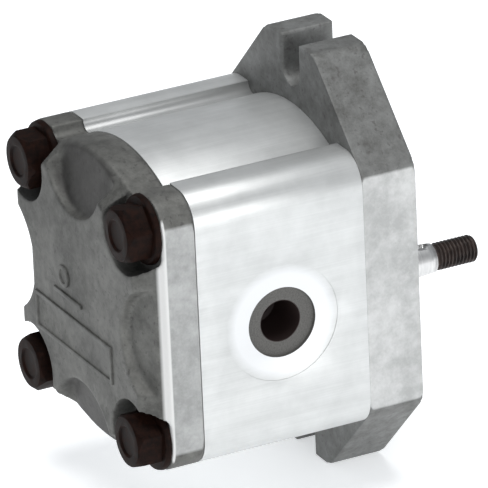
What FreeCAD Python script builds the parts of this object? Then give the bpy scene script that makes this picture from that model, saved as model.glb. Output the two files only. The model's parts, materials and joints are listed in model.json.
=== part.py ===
import FreeCAD, Part
import math
import os
import Sketcher

# Hydraulic gear pump, millimetres. +Y is the drive shaft, pointing out of the mounting face, +Z is up.
# The origin is on the shaft's axis, in the mounting face. The driven gear lies above the drive gear, so the
# middle of the casing is half a gear distance above the origin. A depth is a distance behind the mounting face.

DIMENSIONS = [
    # Casing
    ("half_width", 36.0),
    ("gear_distance", 24.0),
    ("flange_thick", 14.5),
    ("body_length", 45.2),
    ("cover_plate", 8.6),
    ("cover_island", 6.6),
    # Outline of body and cover
    ("corner_height", 35.6),
    ("corner_round", 8.0),
    ("dome_height", 38.0),
    ("dome_radius", 45.0),
    ("dome_reach", 19.6),
    ("groove_reach", 23.4),
    ("groove_round", 2.4),
    # Mounting flange
    ("shoulder_height", 31.0),
    ("tip_height", 54.5),
    ("tip_half_width", 6.8),
    ("slot_radius", 4.5),
    ("slot_height", 47.0),
    ("pilot_radius", 16.0),
    ("pilot_height", 5.0),
    # Raised part of the cover
    ("island_foot_inset", 0.3),
    ("island_top_inset", 4.5),
    ("arch_radius", 14.5),
    ("arch_depth", 3.6),
    ("side_arch_out", 2.0),
    ("head_pocket_radius", 10.2),
    # Cover bolts, M8
    ("bolt_offset", 27.0),
    ("bolt_radius", 4.0),
    ("bolt_hole_radius", 4.2),
    ("bolt_grip_in_flange", 11.0),
    ("bolt_hole_in_flange", 11.8),
    ("bolt_washer_radius", 8.9),
    ("bolt_washer_thick", 1.6),
    ("bolt_head_radius", 7.4),
    ("bolt_head_height", 6.4),
    # Ports, M12 x 1.5
    ("port_depth", 37.5),
    ("port_drop", 1.5),
    ("port_face_radius", 15.0),
    ("port_face_depth", 0.2),
    ("port_sink_radius", 9.0),
    ("port_sink_depth", 1.2),
    ("port_thread_radius", 5.25),
    ("port_thread_depth", 14.0),
    ("port_passage_radius", 4.0),
    ("port_passage_depth", 30.0),
    # Gears
    ("tooth_module", 2.0),
    ("tooth_count", 12.0),
    ("pressure_angle", 25.0),
    ("tooth_thinning", 0.06),
    ("root_radius", 9.5),
    ("tip_radius", 13.97),
    ("flank_round", 5.6),
    ("chamber_radius", 14.05),
    ("gear_width", 18.0),
    ("side_clearance", 0.05),
    ("journal_radius", 6.0),
    ("journal_clearance", 0.03),
    ("bush_radius", 7.0),
    ("shaft_end_gap", 0.5),
    ("end_chamfer", 0.6),
    # Outer end of the drive shaft
    ("seal_land_end", 3.4),
    ("neck_radius", 4.4),
    ("taper_start", 6.4),
    ("taper_large_radius", 4.75),
    ("taper_end", 22.2),
    ("taper_small_radius", 3.7625),
    ("relief_radius", 3.1),
    ("thread_start", 22.8),
    ("thread_radius", 3.5),
    ("shaft_tip", 33.8),
    ("thread_chamfer", 0.8),
    ("keyway_start", 8.0),
    ("keyway_end", 20.9),
    ("keyway_floor", 2.4),
    ("key_half_width", 1.25),
    ("key_length", 9.4),
    ("key_height", 2.9),
    # Seals between the castings
    ("seal_groove_inner", 15.9),
    ("seal_groove_width", 2.2),
    ("seal_groove_depth", 1.8),
    ("seal_width", 1.8),
    # Three-shaped pressure seals in the bearing blocks
    ("three_leg", 1.0),
    ("three_outer", 13.0),
    ("three_middle", 12.1),
    ("three_inner", 10.0),
    ("three_depth", 1.5),
    # Rotary shaft seal and its retaining ring
    ("seal_pocket_radius", 12.5),
    ("seal_pocket_depth", 4.5),
    ("seal_front", 2.7),
    ("seal_length", 7.0),
    ("seal_wall", 1.0),
    ("seal_web_radius", 8.0),
    ("lip_radius", 6.03),
    ("lip_back_radius", 7.2),
    ("lip_thickness", 0.6),
    ("lip_edge_from_rear", 2.0),
    ("lip_end_from_rear", 1.0),
    ("lip_slope", 1.4),
    ("spring_radius", 0.5),
    ("shaft_bore_radius", 6.4),
    ("ring_groove_radius", 13.1),
    ("ring_inner_radius", 11.4),
    ("ring_start", 2.75),
    ("ring_thick", 1.2),
    ("ring_gap_half", 3.0),
    # Dowels
    ("dowel_offset", 26.0),
    ("dowel_height", 8.0),
    ("dowel_radius", 3.0),
    ("dowel_depth", 5.0),
]

CUT_OVERRUN = 1.0
# The involute starts just above the base circle, and a tooth gap's flanks end just outside the tips.
BASE_MARGIN = 1.0005
TIP_MARGIN = 0.02
CORNER_SIGNS = [(1, 1), (-1, 1), (-1, -1), (1, -1)]

doc = FreeCAD.newDocument("gear_pump")
sheet = doc.addObject("Spreadsheet::Sheet", "Dims")
for row, (alias, number) in enumerate(DIMENSIONS, start=1):
    sheet.set("A%d" % row, alias)
    sheet.set("B%d" % row, str(number))
    sheet.setAlias("B%d" % row, alias)
doc.recompute()

sub_parts = []
volumes = {}


class Size:
    """A number together with the sheet expression that gives it."""

    def __init__(self, value, text):
        self.value = value
        self.text = text

    def __add__(self, other):
        other = as_size(other)
        return Size(self.value + other.value, "(%s + %s)" % (self.text, other.text))

    def __sub__(self, other):
        other = as_size(other)
        return Size(self.value - other.value, "(%s - %s)" % (self.text, other.text))

    def __mul__(self, other):
        other = as_size(other)
        return Size(self.value * other.value, "(%s * %s)" % (self.text, other.text))

    def __truediv__(self, other):
        other = as_size(other)
        return Size(self.value / other.value, "(%s / %s)" % (self.text, other.text))

    def __neg__(self):
        return Size(-self.value, "(-1 * %s)" % self.text)

    def __radd__(self, other):
        return as_size(other) + self

    def __rsub__(self, other):
        return as_size(other) - self

    def __rmul__(self, other):
        return as_size(other) * self

    def __rtruediv__(self, other):
        return as_size(other) / self


def as_size(number):
    if isinstance(number, Size):
        return number
    return Size(float(number), "(%s)" % float(number))


def dim(alias):
    return Size(float(sheet.get(alias)), "Dims." + alias)


def root(amount):
    return Size(math.sqrt(amount.value), "sqrt(%s)" % amount.text)


def sine(degrees):
    return Size(math.sin(math.radians(degrees.value)), "sin(%s)" % degrees.text)


def cosine(degrees):
    return Size(math.cos(math.radians(degrees.value)), "cos(%s)" % degrees.text)


def tangent(degrees):
    return Size(math.tan(math.radians(degrees.value)), "tan(%s)" % degrees.text)


def arc_cosine(ratio):
    return Size(math.degrees(math.acos(ratio.value)), "(acos(%s) / 1 deg)" % ratio.text)


def involute_angle(degrees):
    """The involute function, in degrees."""
    return tangent(degrees) * (180.0 / math.pi) - degrees


def bind(item, field, amount):
    item.setExpression(field, as_size(amount).text)


# ---------------------------------------------------------------- sketches and features


def new_body(name):
    body = doc.addObject("PartDesign::Body", name)
    body.Label = name
    sub_parts.append(body)
    return body


def new_sketch(body, name, role="XZ_Plane", offset=0.0):
    """A sketch on one of the body's own planes. On XZ its x is X, its y is Z and its offset is a depth."""
    sketch = body.newObject("Sketcher::SketchObject", name)
    plane = [item for item in body.Origin.OriginFeatures if item.Role == role][0]
    sketch.AttachmentSupport = [(plane, "")]
    sketch.MapMode = "FlatFace"
    bind(sketch, "AttachmentOffset.Base.z", offset)
    return sketch


def fix_point(sketch, geometry, point, x, y):
    """Ties a point of the sketch to the sheet."""
    for kind, amount in (("DistanceX", x), ("DistanceY", y)):
        fix_coordinate(sketch, kind, geometry, point, amount)


def fix_coordinate(sketch, kind, geometry, point, amount):
    rule = Sketcher.Constraint(kind, -1, 1, geometry, point, as_size(amount).value)
    number = sketch.addConstraint(rule)
    bind(sketch, "Constraints[%d]" % number, amount)


def fix_radius(sketch, geometry, radius):
    number = sketch.addConstraint(Sketcher.Constraint("Radius", geometry, radius.value))
    bind(sketch, "Constraints[%d]" % number, radius)


def circle(sketch, x, y, radius):
    centre = FreeCAD.Vector(as_size(x).value, as_size(y).value, 0)
    shape = Part.Circle(centre, FreeCAD.Vector(0, 0, 1), radius.value)
    geometry = sketch.addGeometry(shape, False)
    fix_point(sketch, geometry, 3, x, y)
    fix_radius(sketch, geometry, radius)


def arc_between(start, end, bend):
    """The arc from start to end, its middle on the right of that line for a positive bend."""
    chord = end - start
    half = chord.Length / 2.0
    side = FreeCAD.Vector(-chord.y, chord.x, 0).normalize() * math.copysign(1.0, bend)
    rise = math.sqrt(max(bend * bend - half * half, 0.0))
    centre = (start + end) * 0.5 + side * rise
    first, last = (start, end) if bend > 0 else (end, start)
    first_angle = math.atan2(first.y - centre.y, first.x - centre.x)
    last_angle = math.atan2(last.y - centre.y, last.x - centre.x)
    ring = Part.Circle(centre, FreeCAD.Vector(0, 0, 1), abs(bend))
    return Part.ArcOfCircle(ring, first_angle, last_angle), rise


def outline(sketch, corners):
    """A closed outline, anticlockwise. Each corner is x, y and the radius of the arc to the next corner:
    0 for a straight side, negative where the arc is hollow."""
    corners = [(as_size(x), as_size(y), as_size(bend)) for x, y, bend in corners]
    points = [FreeCAD.Vector(x.value, y.value, 0) for x, y, bend in corners]
    sides = []
    for number, (x, y, bend) in enumerate(corners):
        start = points[number]
        end = points[(number + 1) % len(points)]
        if bend.value == 0:
            geometry = sketch.addGeometry(Part.LineSegment(start, end), False)
            sides.append((geometry, 1, 2))
            continue
        arc, rise = arc_between(start, end, bend.value)
        geometry = sketch.addGeometry(arc, False)
        sides.append((geometry, 1, 2) if bend.value > 0 else (geometry, 2, 1))
        if rise > 1e-4:
            fix_radius(sketch, geometry, bend if bend.value > 0 else -bend)
        elif abs(end.y - start.y) < 1e-6:
            fix_coordinate(sketch, "DistanceY", geometry, 3, y)
        else:
            fix_coordinate(sketch, "DistanceX", geometry, 3, x)
    for number, (x, y, bend) in enumerate(corners):
        geometry, start_point, end_point = sides[number]
        following, next_start, next_end = sides[(number + 1) % len(sides)]
        sketch.addConstraint(Sketcher.Constraint("Coincident", geometry, end_point, following, next_start))
        fix_point(sketch, geometry, start_point, x, y)


def rectangle(sketch, left, right, low, high):
    outline(sketch, [(left, low, 0), (right, low, 0), (right, high, 0), (left, high, 0)])


def pad(body, sketch, length, reverse=False):
    """Adds material behind the sketch, or in front of it when reversed."""
    feature = body.newObject("PartDesign::Pad", sketch.Name + "_pad")
    feature.Profile = sketch
    bind(feature, "Length", length)
    feature.Reversed = reverse
    return finish(body, feature, adds=True)


def pocket(body, sketch, length, reverse=False):
    """Cuts from the sketch towards the front, or towards the rear when reversed."""
    feature = body.newObject("PartDesign::Pocket", sketch.Name + "_pocket")
    feature.Profile = sketch
    bind(feature, "Length", length)
    feature.Reversed = reverse
    return finish(body, feature, adds=False)


def revolve(body, sketch, adds=True):
    """Turns a profile of Y and radius about the Y direction through the body's origin."""
    kind = "Revolution" if adds else "Groove"
    feature = body.newObject("PartDesign::" + kind, sketch.Name + "_turned")
    feature.Profile = sketch
    feature.ReferenceAxis = (sketch, ["H_Axis"])
    feature.Angle = 360.0
    return finish(body, feature, adds)


def finish(body, feature, adds):
    """Recomputes and makes sure that the feature really added or removed material."""
    doc.recompute()
    gained = feature.Shape.Volume - volumes.get(body.Name, 0.0)
    volumes[body.Name] = feature.Shape.Volume
    if (gained > 0) != adds or abs(gained) < 1e-3:
        raise RuntimeError("%s changed the volume by %.3f" % (feature.Name, gained))
    body.Tip = feature
    return feature


def repeat_round(body, feature, sketch, count):
    """Repeats a feature evenly round the sketch's normal."""
    pattern = body.newObject("PartDesign::PolarPattern", feature.Name + "_round")
    pattern.Originals = [feature]
    pattern.Axis = (sketch, ["N_Axis"])
    pattern.Angle = 360.0
    bind(pattern, "Occurrences", count)
    return finish(body, pattern, adds=False)


def rod(name, x, depth, z, radius, length):
    """A cylinder that runs rearwards from a depth."""
    item = doc.addObject("Part::Cylinder", name)
    bind(item, "Radius", radius)
    bind(item, "Height", length)
    return set_rearwards(item, x, depth, z)


def set_rearwards(item, x, depth, z):
    item.Placement.Rotation = FreeCAD.Rotation(FreeCAD.Vector(1, 0, 0), 90)
    bind(item, "Placement.Base.x", x)
    bind(item, "Placement.Base.y", -as_size(depth))
    bind(item, "Placement.Base.z", z)
    return item


def cut_away(name, base, tool):
    item = doc.addObject("Part::Cut", name)
    item.Base = base
    item.Tool = tool
    return item


def gather(name, items):
    """Separate solids kept together as one sub-part."""
    item = doc.addObject("Part::Compound", name)
    item.Links = items
    return keep(item)


def keep(item):
    item.Label = item.Name
    sub_parts.append(item)
    return item


# ---------------------------------------------------------------- places worked out from the dimensions

gear_distance = dim("gear_distance")
centre_z = gear_distance / 2
half_width = dim("half_width")
flange_thick = dim("flange_thick")
body_end = flange_thick + dim("body_length")
plate_end = body_end + dim("cover_plate")
bolt_spots = [(sx * dim("bolt_offset"), centre_z + sz * dim("bolt_offset")) for sx, sz in CORNER_SIGNS]
dowel_spots = [
    (dim("dowel_offset"), centre_z + dim("dowel_height")),
    (-dim("dowel_offset"), centre_z - dim("dowel_height")),
]
block_length = (dim("body_length") - dim("gear_width")) / 2
gear_front = flange_thick + block_length + dim("side_clearance")
gear_rear = body_end - block_length - dim("side_clearance")


# ---------------------------------------------------------------- outlines that more than one piece uses


def casing_outline(sketch, inset=0.0):
    """Body and cover: flat sides, rounded corner bosses and a wide dome above and below."""
    side = half_width - inset
    boss = dim("corner_height") - inset
    round_start = boss - dim("corner_round")
    round_side = side - dim("corner_round")
    dome_radius = dim("dome_radius") - inset
    dome_reach = dim("dome_reach")
    dome_centre = dim("dome_height") - dim("dome_radius")
    dome_edge = dome_centre + root(dome_radius * dome_radius - dome_reach * dome_reach)
    groove_reach = dim("groove_reach")
    corner = dim("corner_round")
    groove = -dim("groove_round")
    outline(
        sketch,
        [
            (side, centre_z - round_start, 0),
            (side, centre_z + round_start, corner),
            (round_side, centre_z + boss, 0),
            (groove_reach, centre_z + boss, groove),
            (dome_reach, centre_z + dome_edge, dome_radius),
            (-dome_reach, centre_z + dome_edge, groove),
            (-groove_reach, centre_z + boss, 0),
            (-round_side, centre_z + boss, corner),
            (-side, centre_z + round_start, 0),
            (-side, centre_z - round_start, corner),
            (-round_side, centre_z - boss, 0),
            (-groove_reach, centre_z - boss, groove),
            (-dome_reach, centre_z - dome_edge, dome_radius),
            (dome_reach, centre_z - dome_edge, groove),
            (groove_reach, centre_z - boss, 0),
            (round_side, centre_z - boss, corner),
        ],
    )


def stadium(sketch, radius):
    """A loop round both gears."""
    outline(
        sketch,
        [
            (radius, 0, 0),
            (radius, gear_distance, radius),
            (-radius, gear_distance, 0),
            (-radius, 0, radius),
        ],
    )


def three_shape(sketch, outer, inner, barred):
    """A figure 3 round both shafts, with a bar in its middle where it is the seal itself."""
    leg = dim("three_leg")
    outer_leg = root(outer * outer - leg * leg)
    inner_leg = root(inner * inner - leg * leg)
    waist = root(outer * outer - centre_z * centre_z)
    corners = [
        (leg, -outer_leg, outer),
        (waist, centre_z, outer),
        (leg, gear_distance + outer_leg, 0),
        (leg, gear_distance + inner_leg, -inner),
    ]
    if barred:
        corners.append((leg, gear_distance - inner_leg, 0))
        corners.append((leg, inner_leg, -inner))
    else:
        corners.append((root(inner * inner - centre_z * centre_z), centre_z, -inner))
    corners.append((leg, -inner_leg, 0))
    outline(sketch, corners)


def spot_circles(sketch, spots, radius):
    for x, z in spots:
        circle(sketch, x, z, radius)


def cut_joint_holes(body, depth, towards_rear, bolt_radius, bolt_length):
    """Bolt and dowel holes that start in a joint face."""
    bolts = new_sketch(body, body.Name + "_bolt_holes", offset=depth)
    spot_circles(bolts, bolt_spots, bolt_radius)
    pocket(body, bolts, bolt_length, towards_rear)
    cut_dowel_holes(body, depth, towards_rear)


def cut_dowel_holes(body, depth, towards_rear):
    side = "rear" if towards_rear else "front"
    dowels = new_sketch(body, "%s_%s_dowel_holes" % (body.Name, side), offset=depth)
    spot_circles(dowels, dowel_spots, dim("dowel_radius"))
    pocket(body, dowels, dim("dowel_depth"), towards_rear)


def cut_seal_groove(body, depth, towards_rear):
    groove = new_sketch(body, body.Name + "_seal_groove", offset=depth)
    inner = dim("seal_groove_inner")
    stadium(groove, inner)
    stadium(groove, inner + dim("seal_groove_width"))
    pocket(body, groove, dim("seal_groove_depth"), towards_rear)


# ---------------------------------------------------------------- casing


def make_mounting_flange():
    body = new_body("mounting_flange")
    plate = new_sketch(body, "flange_outline")
    tip = dim("tip_half_width")
    high = dim("tip_height")
    shoulder = dim("shoulder_height")
    outline(
        plate,
        [
            (half_width, centre_z - shoulder, 0),
            (half_width, centre_z + shoulder, 0),
            (tip, centre_z + high, 0),
            (-tip, centre_z + high, 0),
            (-half_width, centre_z + shoulder, 0),
            (-half_width, centre_z - shoulder, 0),
            (-tip, centre_z - high, 0),
            (tip, centre_z - high, 0),
        ],
    )
    pad(body, plate, flange_thick)

    slot = dim("slot_radius")
    slot_height = dim("slot_height")
    rounds = new_sketch(body, "slot_rounds", offset=flange_thick)
    circle(rounds, 0, centre_z + slot_height, slot)
    circle(rounds, 0, centre_z - slot_height, slot)
    pocket(body, rounds, flange_thick)
    mouths = new_sketch(body, "slot_mouths", offset=flange_thick)
    past = high + CUT_OVERRUN
    rectangle(mouths, -slot, slot, centre_z + slot_height, centre_z + past)
    rectangle(mouths, -slot, slot, centre_z - past, centre_z - slot_height)
    pocket(body, mouths, flange_thick)

    pilot = new_sketch(body, "pilot_circle")
    circle(pilot, 0, 0, dim("pilot_radius"))
    pad(body, pilot, dim("pilot_height"), reverse=True)

    bore = new_sketch(body, "seal_bore", role="YZ_Plane")
    pocket_floor = -dim("seal_pocket_depth")
    narrow = dim("shaft_bore_radius")
    wide = dim("seal_pocket_radius")
    ring = dim("ring_groove_radius")
    ring_start = dim("ring_start")
    ring_end = ring_start + dim("ring_thick")
    front = dim("pilot_height")
    profile(
        bore,
        [
            (-flange_thick, 0),
            (front, 0),
            (front, wide),
            (ring_end, wide),
            (ring_end, ring),
            (ring_start, ring),
            (ring_start, wide),
            (pocket_floor, wide),
            (pocket_floor, narrow),
            (-flange_thick, narrow),
        ],
    )
    revolve(body, bore, adds=False)

    cut_seal_groove(body, flange_thick, towards_rear=False)
    cut_joint_holes(body, flange_thick, False, dim("bolt_radius"), dim("bolt_hole_in_flange"))


def profile(sketch, points):
    """A closed profile with straight sides only."""
    outline(sketch, [(along, out, 0) for along, out in points])


def make_pump_body():
    body = new_body("pump_body")
    section = new_sketch(body, "body_outline", offset=flange_thick)
    casing_outline(section)
    pad(body, section, dim("body_length"))

    for name, z in (("drive", 0), ("driven", gear_distance)):
        bore = new_sketch(body, name + "_chamber", offset=body_end)
        circle(bore, 0, z, dim("chamber_radius"))
        pocket(body, bore, dim("body_length"))

    steps = [
        ("face", dim("port_face_radius"), dim("port_face_depth")),
        ("sink", dim("port_sink_radius"), dim("port_sink_depth")),
        ("thread", dim("port_thread_radius"), dim("port_thread_depth")),
        ("passage", dim("port_passage_radius"), dim("port_passage_depth")),
    ]
    for side, sign in (("right", 1), ("left", -1)):
        for step, radius, depth in steps:
            hole = new_sketch(body, "%s_port_%s" % (side, step), role="YZ_Plane", offset=sign * half_width)
            circle(hole, -dim("port_depth"), centre_z - dim("port_drop"), radius)
            pocket(body, hole, depth, reverse=sign < 0)

    cut_joint_holes(body, body_end, False, dim("bolt_hole_radius"), dim("body_length"))
    cut_dowel_holes(body, flange_thick, towards_rear=True)


def make_rear_cover():
    body = new_body("rear_cover")
    plate = new_sketch(body, "cover_outline", offset=body_end)
    casing_outline(plate)
    pad(body, plate, dim("cover_plate"))

    foot = new_sketch(body, "island_foot", offset=plate_end)
    casing_outline(foot, dim("island_foot_inset"))
    top = new_sketch(body, "island_top", offset=plate_end + dim("cover_island"))
    casing_outline(top, dim("island_top_inset"))
    island = body.newObject("PartDesign::AdditiveLoft", "sloped_island")
    island.Profile = foot
    island.Sections = [top]
    island.Ruled = True
    finish(body, island, adds=True)

    heads = new_sketch(body, "head_pockets", offset=plate_end)
    spot_circles(heads, bolt_spots, dim("head_pocket_radius"))
    pocket(body, heads, dim("cover_island"), reverse=True)

    arches = new_sketch(body, "side_arches", offset=plate_end + dim("cover_island"))
    arch = dim("arch_radius")
    reach = half_width + dim("side_arch_out")
    spots = [(reach, centre_z), (-reach, centre_z), (0, centre_z + half_width), (0, centre_z - half_width)]
    spot_circles(arches, spots, arch)
    pocket(body, arches, dim("arch_depth"))

    cut_seal_groove(body, body_end, towards_rear=True)
    cut_joint_holes(body, body_end, True, dim("bolt_hole_radius"), dim("cover_plate"))


def make_cover_bolts():
    """Four M8 hexagon bolts with a washer face, from the cover into the flange."""
    thread_end = flange_thick - dim("bolt_grip_in_flange")
    bolts = []
    for number, (x, z) in enumerate(bolt_spots, start=1):
        length = plate_end - thread_end
        shank = rod("bolt_shank_%d" % number, x, thread_end, z, dim("bolt_radius"), length)
        washer_thick = dim("bolt_washer_thick")
        washer = rod("bolt_washer_%d" % number, x, plate_end, z, dim("bolt_washer_radius"), washer_thick)
        head = doc.addObject("Part::Prism", "bolt_head_%d" % number)
        head.Polygon = 6
        bind(head, "Circumradius", dim("bolt_head_radius"))
        bind(head, "Height", dim("bolt_head_height"))
        set_rearwards(head, x, plate_end + washer_thick, z)
        bolt = doc.addObject("Part::MultiFuse", "bolt_%d" % number)
        bolt.Shapes = [shank, washer, head]
        bolts.append(bolt)
    gather("cover_bolts", bolts)


# ---------------------------------------------------------------- bearings and seals inside


def make_bearing_block(name, start, groove_at_start):
    """A block round both shafts, its pressure seal groove on the side away from the gears."""
    body = new_body(name)
    for shaft, z in (("drive", 0), ("driven", gear_distance)):
        disc = new_sketch(body, "%s_%s_disc" % (name, shaft), offset=start)
        circle(disc, 0, z, dim("chamber_radius"))
        pad(body, disc, block_length)
    bores = new_sketch(body, name + "_bores", offset=start)
    circle(bores, 0, 0, dim("bush_radius"))
    circle(bores, 0, gear_distance, dim("bush_radius"))
    pocket(body, bores, block_length, reverse=True)
    groove_depth = start if groove_at_start else start + block_length
    groove = new_sketch(body, name + "_groove", offset=groove_depth)
    three_shape(groove, dim("three_outer"), dim("three_inner"), barred=True)
    pocket(body, groove, dim("three_depth"), reverse=groove_at_start)


def make_pressure_seals(side, start):
    """The rubber figure 3 and the plastic one outside it, filling the groove of a block."""
    shapes = [
        ("%s_pressure_seal" % side, dim("three_middle"), dim("three_inner"), True),
        ("%s_backup_ring" % side, dim("three_outer"), dim("three_middle"), False),
    ]
    for name, outer, inner, barred in shapes:
        body = new_body(name)
        section = new_sketch(body, name + "_outline", offset=start)
        three_shape(section, outer, inner, barred)
        pad(body, section, dim("three_depth"))


def make_bushes(side, start):
    for shaft, z in (("drive", 0), ("driven", gear_distance)):
        name = "%s_%s_bush" % (shaft, side)
        outer = rod(name + "_outside", 0, start, z, dim("bush_radius"), block_length)
        bore_radius = dim("journal_radius") + dim("journal_clearance")
        bore = rod(name + "_bore", 0, start, z, bore_radius, block_length)
        keep(cut_away(name, outer, bore))


def make_body_seal(name, start):
    body = new_body(name)
    ring = new_sketch(body, name + "_outline", offset=start)
    inner = dim("seal_groove_inner")
    stadium(ring, inner)
    stadium(ring, inner + dim("seal_width"))
    pad(body, ring, dim("seal_groove_depth"))


def make_dowels(name, start):
    length = 2 * dim("dowel_depth")
    pins = []
    for number, (x, z) in enumerate(dowel_spots, start=1):
        pins.append(rod("%s_%d" % (name, number), x, start, z, dim("dowel_radius"), length))
    gather(name, pins)


# ---------------------------------------------------------------- rotary shaft seal


def make_shaft_seal():
    front = dim("seal_front")
    rear = front - dim("seal_length")
    outside = dim("seal_pocket_radius")
    wall = dim("seal_wall")
    web = dim("seal_web_radius")
    inside = outside - wall
    web_back = front - wall

    case = new_body("shaft_seal_case")
    section = new_sketch(case, "case_profile", role="YZ_Plane")
    profile(
        section,
        [(rear, inside), (web_back, inside), (web_back, web), (front, web), (front, outside), (rear, outside)],
    )
    revolve(case, section)

    lip_edge = rear + dim("lip_edge_from_rear")
    lip_end = rear + dim("lip_end_from_rear")
    back = dim("lip_back_radius")
    thin = dim("lip_thickness")
    slope = dim("lip_slope")
    lip = new_body("shaft_seal_lip")
    section = new_sketch(lip, "lip_profile", role="YZ_Plane")
    profile(
        section,
        [
            (lip_end, back - thin),
            (lip_edge, dim("lip_radius")),
            (lip_edge + slope, back - thin),
            (web_back, back - thin / 2),
            (web_back, inside),
            (web_back - wall, inside),
            (web_back - wall, back + slope),
            (lip_edge + wall, back),
            (lip_end, back),
        ],
    )
    revolve(lip, section)

    spring = doc.addObject("Part::Torus", "shaft_seal_spring")
    bind(spring, "Radius1", back + dim("spring_radius"))
    bind(spring, "Radius2", dim("spring_radius"))
    set_rearwards(spring, 0, -lip_edge, 0)
    keep(spring)


def make_retaining_ring():
    """An internal retaining ring, open at the bottom."""
    start = -(dim("ring_start") + dim("ring_thick"))
    thick = dim("ring_thick")
    outside = rod("ring_outside", 0, start, 0, dim("ring_groove_radius"), thick)
    inside = rod("ring_inside", 0, start, 0, dim("ring_inner_radius"), thick)
    band = cut_away("ring_band", outside, inside)
    gap = doc.addObject("Part::Box", "ring_gap")
    bind(gap, "Length", 2 * dim("ring_gap_half"))
    bind(gap, "Width", thick)
    bind(gap, "Height", dim("ring_groove_radius"))
    bind(gap, "Placement.Base.x", -dim("ring_gap_half"))
    bind(gap, "Placement.Base.y", dim("ring_start"))
    bind(gap, "Placement.Base.z", -dim("ring_groove_radius"))
    keep(cut_away("seal_retaining_ring", band, gap))


# ---------------------------------------------------------------- gears


def gap_half_angle(radius):
    """Half the angle of the gap between two teeth at a radius, from the involute, in degrees."""
    pitch_radius = dim("tooth_module") * dim("tooth_count") / 2
    base_radius = pitch_radius * cosine(dim("pressure_angle"))
    half_pitch = 180.0 / dim("tooth_count")
    half_tooth = half_pitch / 2 - dim("tooth_thinning") / pitch_radius * (90.0 / math.pi)
    here = involute_angle(arc_cosine(base_radius / radius))
    return half_pitch - (half_tooth + involute_angle(dim("pressure_angle")) - here)


def gap_corner(radius, half_angle, side, bend):
    """A corner of the tooth gap, on its left (-1) or its right (1)."""
    return (side * radius * sine(half_angle), radius * cosine(half_angle), bend)


def cut_teeth(body, phase_in_gap):
    """The gaps between the teeth. A gap points up, or a tooth when phase_in_gap is False."""
    gap = new_sketch(body, body.Name + "_tooth_gap", offset=gear_rear)
    base_radius = dim("tooth_module") * dim("tooth_count") / 2 * cosine(dim("pressure_angle"))
    start = base_radius * BASE_MARGIN
    tip = dim("tip_radius") + TIP_MARGIN
    outside = tip + CUT_OVERRUN
    low_angle = gap_half_angle(start)
    high_angle = gap_half_angle(tip)
    bend = dim("flank_round")
    outline(
        gap,
        [
            gap_corner(dim("root_radius"), low_angle, -1, 0),
            gap_corner(dim("root_radius"), low_angle, 1, 0),
            gap_corner(start, low_angle, 1, -bend),
            gap_corner(tip, high_angle, 1, 0),
            gap_corner(outside, high_angle, 1, 0),
            gap_corner(outside, high_angle, -1, 0),
            gap_corner(tip, high_angle, -1, -bend),
            gap_corner(start, low_angle, -1, 0),
        ],
    )
    if not phase_in_gap:
        turn = FreeCAD.Rotation(FreeCAD.Vector(0, 0, 1), 180.0 / dim("tooth_count").value)
        gap.AttachmentOffset = FreeCAD.Placement(gap.AttachmentOffset.Base, turn)
    first = pocket(body, gap, dim("gear_width") - 2 * dim("side_clearance"))
    repeat_round(body, first, gap, dim("tooth_count"))


def rear_half_profile():
    """From the rear end of a gear shaft to the front face of its gear, as Y and radius."""
    journal = dim("journal_radius")
    end = -(body_end - dim("shaft_end_gap"))
    chamfer = dim("end_chamfer")
    tip = dim("tip_radius")
    return [
        (end, 0),
        (end, journal - chamfer),
        (end + chamfer, journal),
        (-gear_rear, journal),
        (-gear_rear, tip),
        (-gear_front, tip),
        (-gear_front, journal),
    ]


def make_drive_gear_shaft():
    body = new_body("drive_gear_shaft")
    turned = new_sketch(body, "drive_profile", role="YZ_Plane")
    journal = dim("journal_radius")
    land_end = dim("seal_land_end")
    chamfer = dim("end_chamfer")
    thread = dim("thread_radius")
    tip = dim("shaft_tip")
    points = rear_half_profile() + [
        (land_end, journal),
        (land_end + chamfer, journal - chamfer),
        (land_end + chamfer, dim("neck_radius")),
        (dim("taper_start"), dim("neck_radius")),
        (dim("taper_start"), dim("taper_large_radius")),
        (dim("taper_end"), dim("taper_small_radius")),
        (dim("taper_end"), dim("relief_radius")),
        (dim("thread_start"), dim("relief_radius")),
        (dim("thread_start"), thread),
        (tip - dim("thread_chamfer"), thread),
        (tip, thread - dim("thread_chamfer")),
        (tip, 0),
    ]
    profile(turned, points[::-1])
    revolve(body, turned)
    cut_teeth(body, phase_in_gap=False)
    keyway = new_sketch(body, "keyway_outline", role="XY_Plane", offset=dim("keyway_floor"))
    key_outline(keyway, dim("keyway_end") - dim("keyway_start"))
    pocket(body, keyway, dim("taper_large_radius"), reverse=True)


def key_outline(sketch, length):
    """A strip along the shaft with round ends, from the start of the keyway."""
    half = dim("key_half_width")
    near = dim("keyway_start") + half
    far = dim("keyway_start") + length - half
    outline(sketch, [(half, near, 0), (half, far, half), (-half, far, 0), (-half, near, half)])


def make_shaft_key():
    body = new_body("shaft_key")
    section = new_sketch(body, "key_section", role="XY_Plane", offset=dim("keyway_floor"))
    key_outline(section, dim("key_length"))
    pad(body, section, dim("key_height"))


def make_driven_gear():
    body = new_body("driven_gear")
    turned = new_sketch(body, "driven_profile", role="YZ_Plane")
    journal = dim("journal_radius")
    chamfer = dim("end_chamfer")
    end = -(flange_thick + dim("shaft_end_gap"))
    points = rear_half_profile() + [(end - chamfer, journal), (end, journal - chamfer), (end, 0)]
    profile(turned, points[::-1])
    revolve(body, turned)
    cut_teeth(body, phase_in_gap=True)
    bind(body, "Placement.Base.z", gear_distance)


# ---------------------------------------------------------------- the whole pump

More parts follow.
